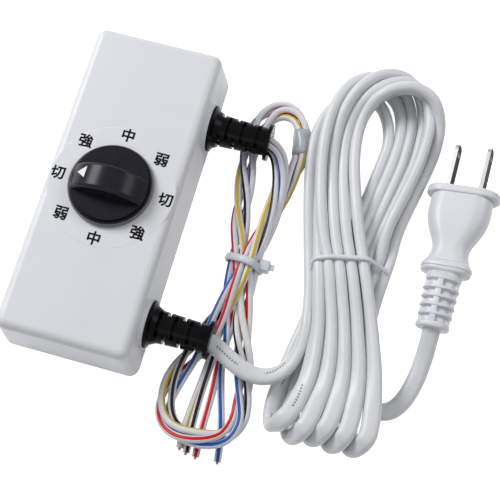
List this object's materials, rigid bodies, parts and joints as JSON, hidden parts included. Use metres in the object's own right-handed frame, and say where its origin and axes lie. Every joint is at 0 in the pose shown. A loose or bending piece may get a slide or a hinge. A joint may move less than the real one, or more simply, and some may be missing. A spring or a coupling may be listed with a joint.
{
  "type": "fan speed control switch",
  "caption": "Rotary fan speed switch: white moulded box, black bar-grip dial, ribbed cable glands, tied mains flex with a flat-blade plug and a tied lead of loose wires.",
  "frame": {"origin": "middle of the housing's back face, on the surface it lies on", "axes": "+Z out of the dial face, +Y along the housing, +X towards the wall with the cable glands"},
  "size_m": [0.1697, 0.1721, 0.037],
  "materials": {
    "housing_white": "satin",
    "screw_steel": "zinc plated",
    "sheet_steel": "plated",
    "switch_black": "moulded",
    "switch_board": "laminate",
    "contact_brass": "plain",
    "spring_steel": "bright",
    "gland_rubber": "matt",
    "plug_white": "satin",
    "blade_nickel": "nickel plated",
    "flex_white": "satin",
    "wire_white": "satin",
    "tie_white": "satin",
    "tie_grey": "satin",
    "copper": "bare copper strands",
    "core_black": "satin",
    "core_white": "satin",
    "core_red": "satin",
    "core_blue": "satin",
    "splice_blue": "translucent nylon",
    "knob_black": "satin",
    "inlay_white": "satin",
    "switch_rotor_red": "moulded"
  },
  "bodies": {
    "housing": {"front_cover": "housing_white", "back_plate": "housing_white", "cover_screws": "screw_steel", "switch_plate": "sheet_steel", "switch_screws": "screw_steel", "switch_case": "switch_black", "switch_base": "switch_board", "terminals": "contact_brass", "detent_spring": "spring_steel", "fan_gland": "gland_rubber", "mains_gland": "gland_rubber", "clamp_bars": "switch_black", "clamp_screws": "screw_steel", "plug_body": "plug_white", "plug_blades": "blade_nickel", "mains_cord_inner": "flex_white", "fan_lead_inner": "wire_white", "mains_cord_lead": "flex_white", "mains_cord_tail": "flex_white", "fan_lead_out": "wire_white", "mains_cord_hank": "flex_white", "fan_lead_hank": "wire_white", "hank_tie": "tie_white", "fan_lead_tie": "tie_grey", "lead_sleeve": "tie_grey", "fan_wire_white": "wire_white", "fan_wire_black": "wire_white", "fan_wire_red": "wire_white", "fan_wire_blue": "wire_white", "wire_ends": "copper", "mains_core_live": "core_black", "mains_core_neutral": "core_white", "fan_core_high": "core_black", "fan_core_medium": "core_red", "fan_core_low": "core_blue", "fan_core_common": "core_white", "splice_sleeve": "splice_blue"},
    "dial": {"knob": "knob_black", "knob_pointer": "inlay_white", "knob_clip": "spring_steel", "dial_shaft": "sheet_steel", "switch_rotor": "switch_rotor_red", "moving_contact": "contact_brass"}
  },
  "joints": [
    {"name": "dial_turn", "type": "hinge", "parent": "housing", "child": "dial", "pos_m": [0, -0.00073, 0.02504], "axis": [0, 0, 1], "continuous": true}
  ]
}
